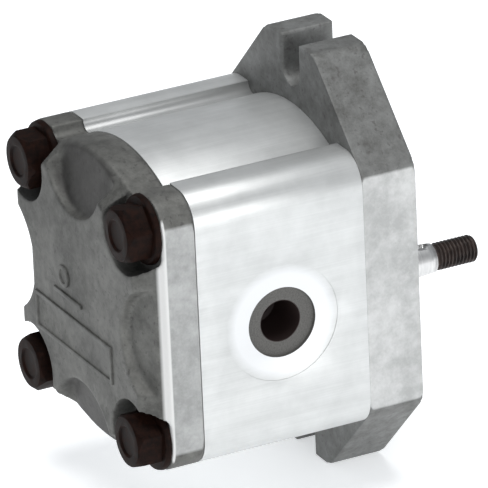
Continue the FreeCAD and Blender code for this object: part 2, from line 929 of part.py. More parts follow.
make_mounting_flange()
make_pump_body()
make_rear_cover()
make_cover_bolts()
rear_block_start = body_end - block_length
make_bearing_block("front_bearing_block", flange_thick, groove_at_start=True)
make_bearing_block("rear_bearing_block", rear_block_start, groove_at_start=False)
make_bushes("front", flange_thick)
make_bushes("rear", rear_block_start)
make_pressure_seals("front", flange_thick)
make_pressure_seals("rear", body_end - dim("three_depth"))
make_body_seal("front_body_seal", flange_thick - dim("seal_groove_depth"))
make_body_seal("rear_body_seal", body_end)
make_dowels("front_dowels", flange_thick - dim("dowel_depth"))
make_dowels("rear_dowels", body_end - dim("dowel_depth"))
make_shaft_seal()
make_retaining_ring()
make_drive_gear_shaft()
make_shaft_key()
make_driven_gear()

doc.recompute()
for item in doc.Objects:
    if "Invalid" in item.State or "Error" in item.State:
        raise RuntimeError("%s failed: %s" % (item.Name, item.State))
for item in sub_parts:
    if item.Shape.isNull() or not item.Shape.isValid():
        raise RuntimeError("%s has no valid shape" % item.Label)

os.makedirs("parts", exist_ok=True)
for item in sub_parts:
    item.Shape.exportStep("parts/%s.step" % item.Label)
    print("%-22s %10.1f mm3" % (item.Label, item.Shape.Volume))
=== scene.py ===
import json
import math

import bmesh
import bpy
from mathutils import Matrix, Vector

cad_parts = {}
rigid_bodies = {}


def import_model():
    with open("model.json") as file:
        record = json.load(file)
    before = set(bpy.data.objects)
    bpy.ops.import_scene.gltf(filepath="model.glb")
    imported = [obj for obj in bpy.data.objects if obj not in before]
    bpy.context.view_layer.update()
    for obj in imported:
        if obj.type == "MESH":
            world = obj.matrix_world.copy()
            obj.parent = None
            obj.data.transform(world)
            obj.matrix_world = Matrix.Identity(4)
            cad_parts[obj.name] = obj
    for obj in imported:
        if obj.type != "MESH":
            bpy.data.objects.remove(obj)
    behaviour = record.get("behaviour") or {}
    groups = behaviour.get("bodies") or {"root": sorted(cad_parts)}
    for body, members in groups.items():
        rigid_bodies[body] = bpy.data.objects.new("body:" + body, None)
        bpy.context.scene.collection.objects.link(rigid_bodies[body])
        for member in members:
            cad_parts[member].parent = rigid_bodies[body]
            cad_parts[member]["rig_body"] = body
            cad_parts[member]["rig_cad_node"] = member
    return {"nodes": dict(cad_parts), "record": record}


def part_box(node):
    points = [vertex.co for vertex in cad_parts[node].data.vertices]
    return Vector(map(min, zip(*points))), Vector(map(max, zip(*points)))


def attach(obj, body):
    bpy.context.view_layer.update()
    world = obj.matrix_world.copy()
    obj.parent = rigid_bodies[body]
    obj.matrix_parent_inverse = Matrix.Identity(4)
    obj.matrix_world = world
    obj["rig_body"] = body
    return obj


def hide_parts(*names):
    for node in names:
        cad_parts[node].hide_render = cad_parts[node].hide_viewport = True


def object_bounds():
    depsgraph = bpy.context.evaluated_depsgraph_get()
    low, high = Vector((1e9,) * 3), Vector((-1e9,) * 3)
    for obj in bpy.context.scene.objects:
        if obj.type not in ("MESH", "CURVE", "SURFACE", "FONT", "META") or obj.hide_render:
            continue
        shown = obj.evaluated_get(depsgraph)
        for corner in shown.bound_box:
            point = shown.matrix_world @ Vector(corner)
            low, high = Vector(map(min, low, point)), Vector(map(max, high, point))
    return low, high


# Hydraulic gear pump. +Y is the drive shaft, pointing out of the mounting face.
# +Z is up and +X is the right port.
# Every length below is in millimetres. MM turns one into metres where a piece is made.

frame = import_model()
cad_low, cad_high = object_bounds()

MM = 0.001

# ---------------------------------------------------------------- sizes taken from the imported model


def node_box(node):
    """A node's lowest and highest corners in millimetres."""
    low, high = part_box(node)
    return Vector(low) / MM, Vector(high) / MM


flange_high = node_box("mounting_flange")[1]
body_low, body_high = node_box("pump_body")
cover_low = node_box("rear_cover")[0]
bolts_low = node_box("cover_bolts")[0]
shaft_high = node_box("drive_gear_shaft")[1]
mounts = {mount["name"]: mount for mount in frame["record"]["mounts"]}

HALF_WIDTH = body_high.x
MIDDLE = (body_low.z + body_high.z) / 2
DOME_HEIGHT = body_high.z - MIDDLE
FLANGE_REAR = body_high.y
BODY_REAR = body_low.y
ISLAND_REAR = cover_low.y
HEAD_REAR = bolts_low.y
GEAR_DISTANCE = 2 * MIDDLE
PILOT_FRONT = flange_high.y
PORT_Y = mounts["right_port"]["pos_m"][1] / MM
PORT_Z = mounts["right_port"]["pos_m"][2] / MM
THREAD_RADIUS = mounts["right_port"]["dims"]["r_mm"]
SLOT_RADIUS = mounts["upper_slot_end"]["dims"]["r_mm"]
SLOT_HEIGHT = mounts["upper_slot_end"]["pos_m"][2] / MM - MIDDLE
PILOT_RADIUS = mounts["pilot"]["dims"]["r_mm"]

# Outline of body and cover
BOSS_HEIGHT = 35.6
BOSS_ROUND = 8.0
DOME_RADIUS = 45.0
DOME_REACH = 19.6
GROOVE_REACH = 23.4
GROOVE_ROUND = 2.4
TROUGH_DEPTH = 8.0

# Cover
PLATE_THICK = 8.6
PLATE_REAR = BODY_REAR - PLATE_THICK
ISLAND_ROOT = 0.3
ISLAND_FOOT_INSET = 0.1
ISLAND_TAPER = 0.877  # size of the island's face against its foot
ARCH_RADIUS = 14.2
ARCH_FLARE = 2.8  # how much wider the cutter is at its far end
ARCH_TILT = math.radians(13)
ARCH_WALL = 2.1  # depth of an arch at its inner end
ARCH_CUTTER_LENGTH = 8.0
SIDE_ARCH_REACH = HALF_WIDTH + 2.0
END_ARCH_REACH = HALF_WIDTH
POCKET_RADIUS = 10.2

# Body
CHAMBER_RADIUS = 14.05
SPOT_FACE_RADIUS = 15.0
SEAT_RADIUS = 9.0
PASSAGE_RADIUS = 4.0
# Radius and depth of each step of a port
PORT_STEPS = [(SPOT_FACE_RADIUS, 0.2), (SEAT_RADIUS, 1.2), (THREAD_RADIUS, 14.0), (PASSAGE_RADIUS, 30.0)]

# Mounting flange
SHOULDER_HEIGHT = 31.0
TIP_HALF_WIDTH = 6.8
SLOT_CUTTER_LENGTH = 20.0

# Bolts and dowels
BOLT_OFFSET = 27.0
BOLT_RADIUS = 4.0
BOLT_HOLE_RADIUS = 4.2
BOLT_GRIP = 11.0
BOLT_HOLE_DEPTH = 11.8
WASHER_THICK = 1.6
WASHER_RADIUS = 8.9
HEAD_RADIUS = 7.4
HEAD_TURN = 17.0  # degrees from one bolt to the next
DOWEL_RADIUS = 3.0
DOWEL_DEPTH = 5.0
DOWEL_REACH = 26.0
DOWEL_DROP = 8.0

# Shaft thread
RELIEF_START = 22.2
RELIEF_RADIUS = 3.1
THREAD_MAJOR = 3.5
THREAD_PITCH = 1.0
THREAD_DEPTH = 0.55

CORNERS = [(1, 1), (-1, 1), (-1, -1), (1, -1)]
FRONTWARDS = (0, 1, 0)
REARWARDS = (0, -1, 0)
OVERRUN = 1.0
DOME_SIDES = 256
FINE_SIDES = 128
POCKET_SIDES = 96
ROUND_SIDES = 64
GROOVE_SIDES = 40
DRILL_SIDES = 32
SHARP = math.radians(4)


# ---------------------------------------------------------------- modelling


def select_only(piece):
    bpy.ops.object.select_all(action="DESELECT")
    piece.select_set(True)
    bpy.context.view_layer.objects.active = piece


def take_new(name):
    """The primitive that was just added, its place moved into its mesh."""
    piece = bpy.context.object
    piece.name = name
    piece.data.name = name
    select_only(piece)
    bpy.ops.object.transform_apply(location=True, rotation=True, scale=True)
    return piece


def add_block(name, low, high):
    bpy.ops.object.select_all(action="DESELECT")
    low, high = Vector(low) * MM, Vector(high) * MM
    bpy.ops.mesh.primitive_cube_add(size=1, location=(low + high) / 2, scale=high - low)
    return take_new(name)


def add_disc(name, base, along, radius, length, sides=ROUND_SIDES, end_radius=None, turn=0.0):
    """A cylinder or cone from its base's centre along a direction."""
    bpy.ops.object.select_all(action="DESELECT")
    along = Vector(along).normalized()
    middle = (Vector(base) + along * length / 2) * MM
    facing = along.to_track_quat("Z", "Y").to_matrix() @ Matrix.Rotation(turn, 3, "Z")
    bpy.ops.mesh.primitive_cone_add(
        vertices=sides,
        radius1=radius * MM,
        radius2=(radius if end_radius is None else end_radius) * MM,
        depth=length * MM,
        location=middle,
        rotation=facing.to_euler(),
    )
    return take_new(name)


def finish_with(piece, kind, **settings):
    """Adds a modifier and applies it."""
    modifier = piece.modifiers.new(kind.lower(), kind)
    for setting, value in settings.items():
        setattr(modifier, setting, value)
    select_only(piece)
    bpy.ops.object.modifier_apply(modifier=modifier.name)


def cut(piece, tool):
    finish_with(piece, "BOOLEAN", operation="DIFFERENCE", object=tool, solver="EXACT")
    bpy.data.objects.remove(tool)


def join(tools):
    """Several tools that don't touch each other, made one so that they cut together."""
    bpy.ops.object.select_all(action="DESELECT")
    for tool in tools:
        tool.select_set(True)
    bpy.context.view_layer.objects.active = tools[0]
    bpy.ops.object.join()
    return tools[0]


def weld(piece, other):
    finish_with(piece, "BOOLEAN", operation="UNION", object=other, solver="EXACT")
    bpy.data.objects.remove(other)


def keep_common(piece, other):
    finish_with(piece, "BOOLEAN", operation="INTERSECT", object=other, solver="EXACT")
    bpy.data.objects.remove(other)


def edit_edges(piece, wanted):
    """Opens a piece in edit mode with just the wanted sharp edges selected.

    wanted takes an edge's two ends, in millimetres.
    """
    select_only(piece)
    bpy.ops.object.mode_set(mode="EDIT")
    bpy.ops.mesh.select_mode(type="EDGE")
    bpy.ops.mesh.select_all(action="DESELECT")
    mesh = bmesh.from_edit_mesh(piece.data)
    for edge in mesh.edges:
        one, two = (vert.co / MM for vert in edge.verts)
        if wanted(one, two) and edge.calc_face_angle(0) > SHARP:
            edge.select_set(True)
    bmesh.update_edit_mesh(piece.data)


def bevel_edges(piece, wanted, width, segments):
    edit_edges(piece, wanted)
    bpy.ops.mesh.bevel(offset=width * MM, segments=segments, affect="EDGES", clamp_overlap=True)
    bpy.ops.object.mode_set(mode="OBJECT")


def slice_off(piece, point, normal):
    """Cuts away what lies on the normal's side of a plane and closes the cut."""
    select_only(piece)
    bpy.ops.object.mode_set(mode="EDIT")
    bpy.ops.mesh.select_all(action="SELECT")
    bpy.ops.mesh.bisect(
        plane_co=Vector(point) * MM, plane_no=Vector(normal), use_fill=True, clear_outer=True
    )
    bpy.ops.object.mode_set(mode="OBJECT")


def along_y(one, two):
    return abs(one.x - two.x) < 0.01 and abs(one.z - two.z) < 0.01


def at_y(depth):
    """Edges that lie in one plane across the shaft."""
    return lambda one, two: abs(one.y - depth) < 0.01 and abs(two.y - depth) < 0.01


def shade(piece, degrees=30):
    mend(piece)
    select_only(piece)
    bpy.ops.object.shade_smooth_by_angle(angle=math.radians(degrees))


def as_casting(piece, grain, rounds, share):
    """Softens every edge as a casting's are: fine cells, smoothed, then thinned out to a share of them."""
    finish_with(piece, "REMESH", mode="VOXEL", voxel_size=grain * MM, adaptivity=0.0)
    finish_with(piece, "SMOOTH", factor=0.5, iterations=rounds)
    finish_with(piece, "DECIMATE", decimate_type="COLLAPSE", ratio=share)


def mend(piece):
    """Merges doubled points and closes what a cut left open."""
    select_only(piece)
    bpy.ops.object.mode_set(mode="EDIT")
    bpy.ops.mesh.select_all(action="SELECT")
    bpy.ops.mesh.remove_doubles(threshold=0.0015 * MM)
    bpy.ops.mesh.dissolve_degenerate(threshold=0.001 * MM)
    bpy.ops.mesh.select_all(action="DESELECT")
    bpy.ops.mesh.select_non_manifold()
    bpy.ops.mesh.fill_holes(sides=8)
    bpy.ops.object.mode_set(mode="OBJECT")


def break_edges(piece, width, segments=2, degrees=30):
    finish_with(
        piece,
        "BEVEL",
        width=width * MM,
        segments=segments,
        limit_method="ANGLE",
        angle_limit=math.radians(degrees),
        use_clamp_overlap=True,
        miter_outer="MITER_ARC",
    )


def hand_over(piece, body, slot, *replaced):
    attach(piece, body)
    if replaced:
        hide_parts(*replaced)


# ---------------------------------------------------------------- casing of body and cover


def groove_place(inset):
    """Middle of the round groove between a corner boss and the dome, from the casing's middle."""
    boss = BOSS_HEIGHT - inset
    dome_edge = DOME_HEIGHT - DOME_RADIUS + math.sqrt((DOME_RADIUS - inset) ** 2 - DOME_REACH**2)
    across, drop = GROOVE_REACH - DOME_REACH, boss - dome_edge
    chord = math.hypot(across, drop)
    lift = math.sqrt(GROOVE_ROUND**2 - (chord / 2) ** 2)
    x = (GROOVE_REACH + DOME_REACH) / 2 - lift * drop / chord
    return x, (boss + dome_edge) / 2 + lift * across / chord


def make_casing(name, front, rear, inset=0.0):
    """Four rounded corner bosses in one block, a wide dome above and below, and grooves between them."""
    side, boss = HALF_WIDTH - inset, BOSS_HEIGHT - inset
    casing = add_block(name, (-side, rear, MIDDLE - boss), (side, front, MIDDLE + boss))
    bevel_edges(casing, along_y, BOSS_ROUND, 14)
    trough = DOME_REACH - 0.2
    trough_floor = boss - TROUGH_DEPTH
    groove_x, groove_z = groove_place(inset)
    for up in (1, -1):
        low, high = sorted((MIDDLE + up * trough_floor, MIDDLE + up * (boss + OVERRUN)))
        cut(casing, add_block("trough", (-trough, rear - OVERRUN, low), (trough, front + OVERRUN, high)))
        middle = MIDDLE + up * (DOME_HEIGHT - DOME_RADIUS)
        dome = add_disc("dome", (0, front, middle), REARWARDS, DOME_RADIUS - inset, front - rear, DOME_SIDES)
        slice_off(dome, (DOME_REACH, 0, 0), (1, 0, 0))
        slice_off(dome, (-DOME_REACH, 0, 0), (-1, 0, 0))
        slice_off(dome, (0, 0, MIDDLE + up * (trough_floor - OVERRUN)), (0, 0, -up))
        weld(casing, dome)
        for right in (1, -1):
            place = (right * groove_x, front + OVERRUN, MIDDLE + up * groove_z)
            length = front - rear + 2 * OVERRUN
            cut(casing, add_disc("groove", place, REARWARDS, GROOVE_ROUND, length, GROOVE_SIDES))
    return casing


def bolt_place(right, up, y):
    return right * BOLT_OFFSET, y, MIDDLE + up * BOLT_OFFSET


def bolt_drills(front, rear, radius):
    return [
        add_disc("drill", bolt_place(right, up, front), REARWARDS, radius, front - rear, DRILL_SIDES)
        for right, up in CORNERS
    ]


def dowel_drills(joint):
    """For the blind holes of the two dowels across a joint."""
    places = [(right * DOWEL_REACH, joint - DOWEL_DEPTH, MIDDLE - right * DOWEL_DROP) for right in (1, -1)]
    return [
        add_disc("drill", place, FRONTWARDS, DOWEL_RADIUS, 2 * DOWEL_DEPTH, DRILL_SIDES) for place in places
    ]


# ---------------------------------------------------------------- rear cover


def make_island():
    """The raised part of the cover, drawn in towards its face so that its sides slope."""
    island = make_casing("island", PLATE_REAR + ISLAND_ROOT, ISLAND_REAR, ISLAND_FOOT_INSET)
    edit_edges(island, at_y(ISLAND_REAR))
    bpy.ops.transform.resize(
        value=(ISLAND_TAPER, 1, ISLAND_TAPER), center_override=Vector((0, ISLAND_REAR, MIDDLE)) * MM
    )
    bpy.ops.object.mode_set(mode="OBJECT")
    return island


def make_rear_cover():
    """The cover's plate and island, with bolt pockets, four scooped arches, cast marks and drilled holes."""
    cover = make_casing("rear_cover_casting", BODY_REAR, PLATE_REAR)
    weld(cover, make_island())
    past_island = PLATE_REAR - ISLAND_REAR + OVERRUN
    for right, up in CORNERS:
        place = bolt_place(right, up, PLATE_REAR)
        cut(cover, add_disc("head_pocket", place, REARWARDS, POCKET_RADIUS, past_island))
    for right, up in ((1, 0), (-1, 0), (0, 1), (0, -1)):
        reach = SIDE_ARCH_REACH if right else END_ARCH_REACH
        floor_at_reach = ISLAND_REAR + ARCH_WALL + ARCH_RADIUS * math.tan(ARCH_TILT)
        place = (right * reach, floor_at_reach, MIDDLE + up * reach)
        along = (right * math.sin(ARCH_TILT), -math.cos(ARCH_TILT), up * math.sin(ARCH_TILT))
        end_radius = ARCH_RADIUS + ARCH_FLARE
        cut(cover, add_disc("arch", place, along, ARCH_RADIUS, ARCH_CUTTER_LENGTH, FINE_SIDES, end_radius))
    bevel_edges(cover, at_y(ISLAND_REAR), 0.7, 2)
    bevel_edges(cover, at_y(PLATE_REAR), 0.6, 2)
    as_casting(cover, grain=0.45, rounds=5, share=0.4)
    add_cover_marks(cover)
    drills = bolt_drills(BODY_REAR + OVERRUN, PLATE_REAR - OVERRUN, BOLT_HOLE_RADIUS)
    cut(cover, join(drills + dowel_drills(BODY_REAR)))
    shade(cover)
    hand_over(cover, "housing", "cast_alloy", "rear_cover")
    return cover


def add_cover_marks(cover):
    """A blank raised frame, a short bar above it and a plain ring, cast with the cover."""
    left, right, low, high = -23.2, 18.4, MIDDLE - 15.7, MIDDLE - 5.7
    rim = 1.1
    crest, root, floor = ISLAND_REAR - 0.5, ISLAND_REAR + 0.6, ISLAND_REAR - 0.05
    panel = add_block("panel", (left, crest, low), (right, root, high))
    hollow = add_block(
        "hollow", (left + rim, crest - OVERRUN, low + rim), (right - rim, floor, high - rim)
    )
    cut(panel, hollow)
    bar = add_block("bar", (-12.3, crest, MIDDLE - 1.8), (2.7, root, MIDDLE - 0.6))
    ring_x, ring_z, ring_radius, eye_radius = -6.6, MIDDLE + 3.7, 2.9, 1.8
    ring = add_disc("ring", (ring_x, root, ring_z), REARWARDS, ring_radius, root - crest)
    cut(ring, add_disc("eye", (ring_x, floor, ring_z), REARWARDS, eye_radius, 2 * OVERRUN))
    for mark in (panel, bar, ring):
        break_edges(mark, 0.25)
    weld(cover, join([panel, bar, ring]))


# ---------------------------------------------------------------- mounting flange


def on_slot_rim(one, two):
    """Edges round a slot in the front or rear face."""
    for point in (one, two):
        in_face = min(abs(point.y), abs(point.y - FLANGE_REAR)) < 0.01
        by_slot = abs(point.x) < SLOT_RADIUS + 0.1 and abs(point.z - MIDDLE) > SLOT_HEIGHT - SLOT_RADIUS - 0.1
        if not (in_face and by_slot):
            return False
    return True


def make_seal_cutter():
    """For the shaft seal's pocket, the retaining ring's groove in it and the shaft's bore behind it."""
    front = PILOT_FRONT + OVERRUN
    pocket_rear, pocket_radius = -4.5, 12.5
    groove_rear, groove_width, groove_radius = 2.75, 1.2, 13.1
    bore_front, bore_length, bore_radius = -2.0, 20.0, 6.4
    sides = POCKET_SIDES
    pocket = add_disc("seal_pocket", (0, front, 0), REARWARDS, pocket_radius, front - pocket_rear, sides)
    weld(pocket, add_disc("ring_groove", (0, groove_rear, 0), FRONTWARDS, groove_radius, groove_width, sides))
    weld(pocket, add_disc("shaft_bore", (0, bore_front, 0), REARWARDS, bore_radius, bore_length))
    return pocket


def make_mounting_flange():
    """A thick plate with sloped corners and a slot at each end, and a pilot that holds the shaft seal."""
    high = flange_high.z - MIDDLE
    flange = add_block(
        "mounting_flange_casting", (-HALF_WIDTH, FLANGE_REAR, MIDDLE - high), (HALF_WIDTH, 0, MIDDLE + high)
    )
    for right, up in CORNERS:
        normal = Vector((right * (high - SHOULDER_HEIGHT), 0, up * (HALF_WIDTH - TIP_HALF_WIDTH)))
        slice_off(flange, (right * HALF_WIDTH, 0, MIDDLE + up * SHOULDER_HEIGHT), normal)
    bevel_edges(flange, along_y, 1.5, 3)
    for up in (1, -1):
        middle = MIDDLE + up * SLOT_HEIGHT
        slot = add_disc("slot", (0, OVERRUN, middle), REARWARDS, SLOT_RADIUS, SLOT_CUTTER_LENGTH)
        low, top = sorted((middle - up * 0.4, MIDDLE + up * (high + OVERRUN)))
        ends = (OVERRUN - SLOT_CUTTER_LENGTH + 0.5, 0.5)
        weld(slot, add_block("mouth", (-SLOT_RADIUS, ends[0], low), (SLOT_RADIUS, ends[1], top)))
        cut(flange, slot)
    bevel_edges(flange, on_slot_rim, 1.0, 2)
    as_casting(flange, grain=0.5, rounds=4, share=0.35)
    pilot = add_disc("pilot", (0, -OVERRUN, 0), FRONTWARDS, PILOT_RADIUS, PILOT_FRONT + OVERRUN, FINE_SIDES)
    break_edges(pilot, 0.5, 1, 60)
    weld(flange, pilot)
    drills = bolt_drills(FLANGE_REAR + BOLT_HOLE_DEPTH, FLANGE_REAR - OVERRUN, BOLT_RADIUS)
    cut(flange, join([make_seal_cutter()] + drills + dowel_drills(FLANGE_REAR)))
    shade(flange)
    hand_over(flange, "housing", "cast_alloy", "mounting_flange")
    return flange


# ---------------------------------------------------------------- pump body


def make_pump_body():
    """The extrusion with its two gear chambers, through holes for the bolts, and a stepped port each side."""
    body = make_casing("pump_body_extrusion", FLANGE_REAR, BODY_REAR)
    through = FLANGE_REAR - BODY_REAR + 2 * OVERRUN
    for shaft_z in (0, GEAR_DISTANCE):
        place = (0, FLANGE_REAR + OVERRUN, shaft_z)
        cut(body, add_disc("chamber", place, REARWARDS, CHAMBER_RADIUS, through, FINE_SIDES))
    drills = bolt_drills(FLANGE_REAR + OVERRUN, BODY_REAR - OVERRUN, BOLT_HOLE_RADIUS)
    cut(body, join(drills + dowel_drills(FLANGE_REAR) + dowel_drills(BODY_REAR)))
    for right in (1, -1):
        face, inward = right * HALF_WIDTH, (-right, 0, 0)
        for radius, depth in PORT_STEPS:
            start = (face + right * OVERRUN, PORT_Y, PORT_Z)
            cut(body, add_disc("port", start, inward, radius, depth + OVERRUN, FINE_SIDES))
    break_edges(body, 0.3)
    shade(body)
    hand_over(body, "housing", "extruded_alloy", "pump_body")
    return body


# ---------------------------------------------------------------- cover bolts


def make_bolt():
    """A hexagon head with a turned crown and a dimple, a washer face and a shank, round the Y axis."""
    washer_rear = PLATE_REAR - WASHER_THICK
    blank_front, crown_front = washer_rear + 0.5, washer_rear + 1.0
    crown_radius, crown_tip_radius = 12.2, 6.15
    bolt = add_disc("cover_bolt", (0, blank_front, 0), REARWARDS, HEAD_RADIUS, blank_front - HEAD_REAR, 6)
    crown_length = crown_front - HEAD_REAR
    crown = add_disc(
        "crown", (0, crown_front, 0), REARWARDS, crown_radius, crown_length, end_radius=crown_tip_radius
    )
    keep_common(bolt, crown)
    dimple_radius, dimple_floor_radius = 4.6, 3.6
    dimple_start = (0, HEAD_REAR - 0.5, 0)
    cut(bolt, add_disc("dimple", dimple_start, FRONTWARDS, dimple_radius, 1.0, end_radius=dimple_floor_radius))
    washer = add_disc("washer", (0, PLATE_REAR, 0), REARWARDS, WASHER_RADIUS, WASHER_THICK, end_radius=8.5)
    break_edges(washer, 0.35, 2, 50)
    weld(bolt, washer)
    shank_start = PLATE_REAR - 0.5
    shank_length = FLANGE_REAR + BOLT_GRIP - shank_start
    shank = add_disc("shank", (0, shank_start, 0), FRONTWARDS, BOLT_RADIUS, shank_length)
    break_edges(shank, 0.6, 1, 60)
    weld(bolt, shank)
    break_edges(bolt, 0.22)
    return bolt


def make_cover_bolts():
    """One bolt copied to the four corners, each with its head at another angle."""
    model = make_bolt()
    bolts = []
    for number, (right, up) in enumerate(CORNERS, start=1):
        select_only(model)
        bpy.ops.object.duplicate()
        bolt = bpy.context.object
        bolt.name = "cover_bolt_%d" % number
        turn = Matrix.Rotation(math.radians(HEAD_TURN * number), 4, "Y")
        bolt.data.transform(Matrix.Translation(Vector(bolt_place(right, up, 0)) * MM) @ turn)
        shade(bolt)
        bolts.append(bolt)
        hand_over(bolt, "housing", "black_steel", "cover_bolts")
    bpy.data.objects.remove(model)
    return bolts


# ---------------------------------------------------------------- drive shaft


def make_drive_shaft():
    """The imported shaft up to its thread, then a cut thread with its relief and chamfered tip."""
    source = frame["nodes"]["drive_gear_shaft"]
    select_only(source)
    bpy.ops.object.duplicate()
    shaft = bpy.context.object
    shaft.name = shaft.data.name = "drive_shaft"
    shaft.parent = None
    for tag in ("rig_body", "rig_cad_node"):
        if tag in shaft:
            del shaft[tag]
    select_only(shaft)
    bpy.ops.object.mode_set(mode="EDIT")
    bpy.ops.mesh.select_all(action="SELECT")
    bpy.ops.mesh.remove_doubles(threshold=0.001 * MM)
    bpy.ops.mesh.normals_make_consistent(inside=False)
    bpy.ops.object.mode_set(mode="OBJECT")
    slice_off(shaft, (0, RELIEF_START + 0.3, 0), FRONTWARDS)
    weld(shaft, add_thread(RELIEF_START, shaft_high.y))
    shade(shaft)
    hand_over(shaft, "drive", "ground_steel", "drive_gear_shaft")
    return shaft


def thread_radius(y, turn, start, tip):
    """The thread's radius at a place along the shaft and round it, counted in whole turns."""
    phase = (y / THREAD_PITCH - turn) % 1.0
    flank = min(1.0, max(0.0, 1.55 - 4.0 * abs(phase - 0.5)))
    run_in = min(1.0, max(0.0, (y - start - 0.5) / 0.8))
    chamfer = RELIEF_RADIUS - 0.15 + (tip - y)
    radius = min(THREAD_MAJOR - THREAD_DEPTH + THREAD_DEPTH * flank, THREAD_MAJOR, chamfer)
    if radius > RELIEF_RADIUS:
        radius = RELIEF_RADIUS + (radius - RELIEF_RADIUS) * run_in
    return radius


def add_thread(start, tip, around=48, steps=8):
    """A helical thread: a fine-ringed rod whose surface rises and falls with turn and length."""
    rings = int((tip - start) / THREAD_PITCH * steps)
    bpy.ops.object.select_all(action="DESELECT")
    bpy.ops.mesh.primitive_cylinder_add(
        vertices=around,
        radius=RELIEF_RADIUS * MM,
        depth=(tip - start) * MM,
        location=Vector((0, (start + tip) / 2, 0)) * MM,
        rotation=(math.radians(-90), 0, 0),
    )
    thread = take_new("thread")
    edit_edges(thread, along_y)
    bpy.ops.mesh.subdivide(number_cuts=rings - 1)
    bpy.ops.object.mode_set(mode="OBJECT")
    for vert in thread.data.vertices:
        outward = Vector((vert.co.x, 0, vert.co.z))
        if outward.length > 0.1 * MM:
            turn = math.atan2(vert.co.z, vert.co.x) / (2 * math.pi)
            outward = outward.normalized() * thread_radius(vert.co.y / MM, turn, start, tip) * MM
            vert.co = Vector((outward.x, vert.co.y, outward.z))
    return thread


# ---------------------------------------------------------------- finishes


class Value:
    """A shader socket that Python's operators work on."""

    def __init__(self, finish, socket):
        self.finish = finish
        self.socket = socket

    def math(self, operation, first, second):
        return self.finish.node("Math", {"operation": operation}, first, second)

    def __add__(self, other):
        return self.math("ADD", self, other)

    __radd__ = __add__

    def __sub__(self, other):
        return self.math("SUBTRACT", self, other)

    def __rsub__(self, other):
        return self.math("SUBTRACT", other, self)

    def __mul__(self, other):
        return self.math("MULTIPLY", self, other)

    __rmul__ = __mul__

    def __truediv__(self, other):
        return self.math("DIVIDE", self, other)

    def __rtruediv__(self, other):
        return self.math("DIVIDE", other, self)

    def absolute(self):
        return self.finish.node("Math", {"operation": "ABSOLUTE"}, self)

    def clamped(self):
        return self.finish.node("Clamp", {}, self)

    def rises(self, start, distance):
        """0 up to a place in millimetres, then up to 1 over a distance."""
        return ((self - start * MM) / (distance * MM)).clamped()

    def falls(self, end, distance):
        """0 from a place in millimetres on, and up to 1 over a distance before it."""
        return ((end * MM - self) / (distance * MM)).clamped()

    def under(self, limit):
        return self.math("LESS_THAN", self, limit * MM)

    def over(self, limit):
        return self.math("GREATER_THAN", self, limit * MM)


class Finish:
    """A material: one shader, with nodes behind it."""

    def __init__(self, name, **constants):
        self.material = bpy.data.materials.new(name)
        self.material.use_nodes = True
        self.tree = self.material.node_tree
        self.shader = self.tree.nodes["Principled BSDF"]
        for socket, number in constants.items():
            self.shader.inputs[socket.replace("_", " ")].default_value = number

    def node(self, kind, settings, *values, out=0, **named):
        """Any node: its settings first, then its sockets by order or by name."""
        made = self.tree.nodes.new("ShaderNode" + kind)
        for setting, choice in settings.items():
            if setting == "stops":
                self.set_stops(made.color_ramp, choice)
            else:
                setattr(made, setting, choice)
        usable = [socket for socket in made.inputs if socket.enabled]
        pairs = list(zip(usable, values))
        for name, value in named.items():
            pairs.append((next(socket for socket in usable if socket.name == name), value))
        for socket, value in pairs:
            if isinstance(value, Value):
                self.tree.links.new(value.socket, socket)
            elif value is not None:
                socket.default_value = value
        outputs = [socket for socket in made.outputs if socket.enabled]
        return Value(self, outputs[out] if isinstance(out, int) else made.outputs[out])

    @staticmethod
    def set_stops(ramp, stops):
        while len(ramp.elements) < len(stops):
            ramp.elements.new(0.5)
        for element, (place, tone) in zip(ramp.elements, stops):
            element.position = place
            red_green_blue = (tone, tone, tone) if isinstance(tone, float) else tone
            element.color = (*red_green_blue, 1)

    def place(self):
        return self.node("TexCoord", {}, out="Object")

    def stretched(self, scale):
        """Object coordinates stretched by a factor along each axis."""
        return self.node("VectorMath", {"operation": "MULTIPLY"}, self.place(), scale)

    def noise(self, size, detail=3.0, rough=0.55, where=None):
        """Noise with features of a size in millimetres, 0 to 1."""
        where = where or self.place()
        scale = 1 / (size * MM)
        return self.node("TexNoise", {}, Vector=where, Scale=scale, Detail=detail, Roughness=rough)

    def ramp(self, value, *stops):
        return self.node("ValToRGB", {"stops": stops}, value)

    def mix(self, factor, first, second):
        return self.node("Mix", {"data_type": "RGBA"}, Factor=factor, A=first, B=second)

    def axis(self, name):
        """One coordinate, in metres."""
        return self.node("SeparateXYZ", {}, self.place(), out=name)

    def bump(self, height, strength, depth):
        """A bump from a height of 0 to 1 that stands for a depth in millimetres."""
        return self.node("Bump", {}, Strength=strength, Distance=depth * MM, Height=height)

    def feed(self, **links):
        for socket, value in links.items():
            self.tree.links.new(value.socket, self.shader.inputs[socket.replace("_", " ")])
        return self.material


def color(r, g, b):
    return (r, g, b, 1.0)


# Painted highlight on the cover's rounded rear side edges.
EDGE_HIGHLIGHT_TONE = color(0.62, 0.62, 0.61)


